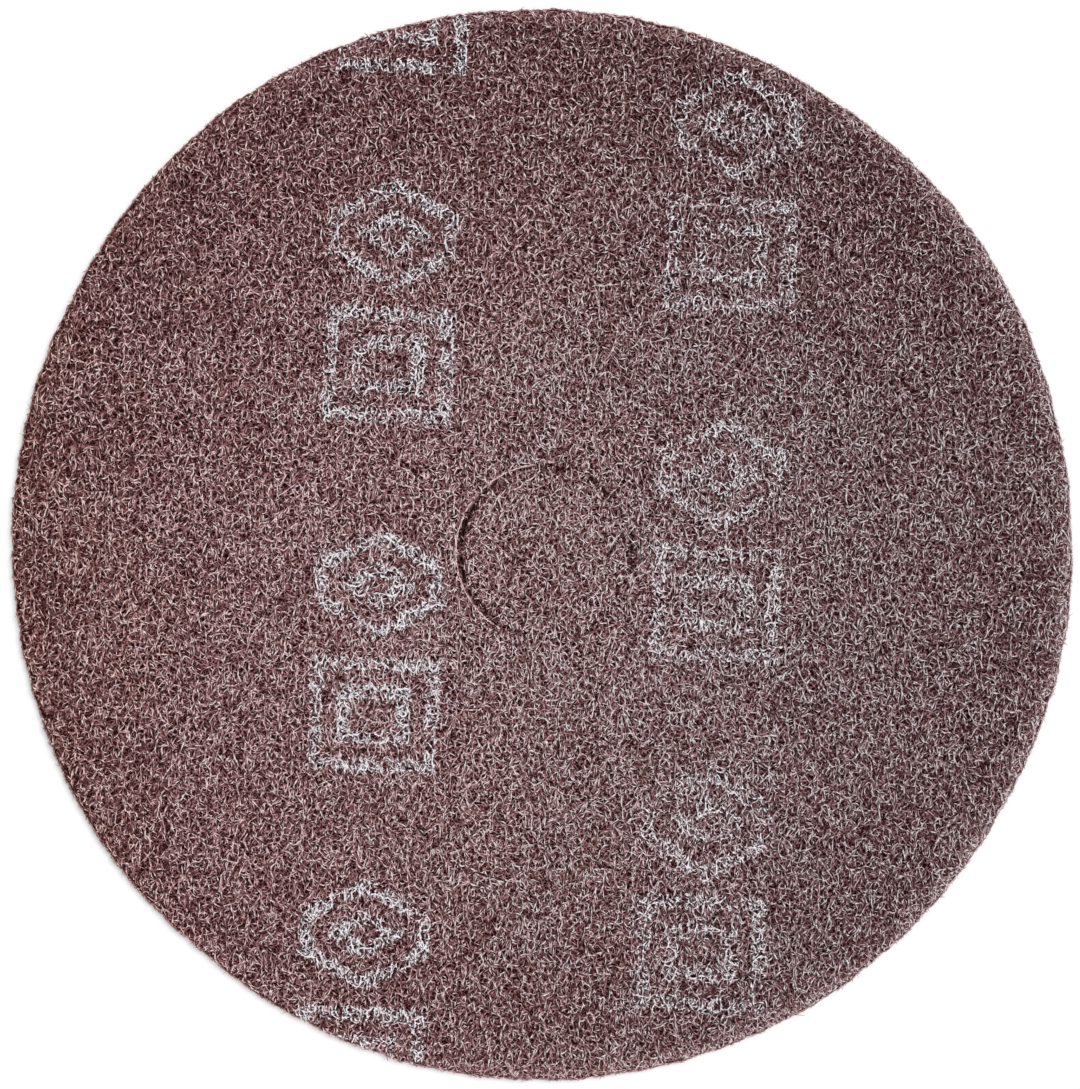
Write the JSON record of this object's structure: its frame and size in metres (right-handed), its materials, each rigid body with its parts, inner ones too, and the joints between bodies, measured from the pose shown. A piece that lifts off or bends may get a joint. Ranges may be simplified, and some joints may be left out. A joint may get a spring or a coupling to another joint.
{
  "type": "floor scrubbing pad",
  "caption": "Round non-woven abrasive floor pad of dusty maroon fibre, thin and flat, with a die-cut round knock-out still tied in at its centre.",
  "frame": {"origin": "on the underside, at the middle of the disc", "axes": "+Z up through the thickness, from the floor side to the driver side; +X to the right and +Y up as the picture shows the pad"},
  "size_m": [0.5055, 0.5106, 0.008],
  "materials": {
    "abrasive_web": "matt, open tangle of resin-bonded maroon fibre with grey dust on its upper strands"
  },
  "bodies": {
    "root": {"scrubbing_pad": "abrasive_web"}
  },
  "joints": []
}
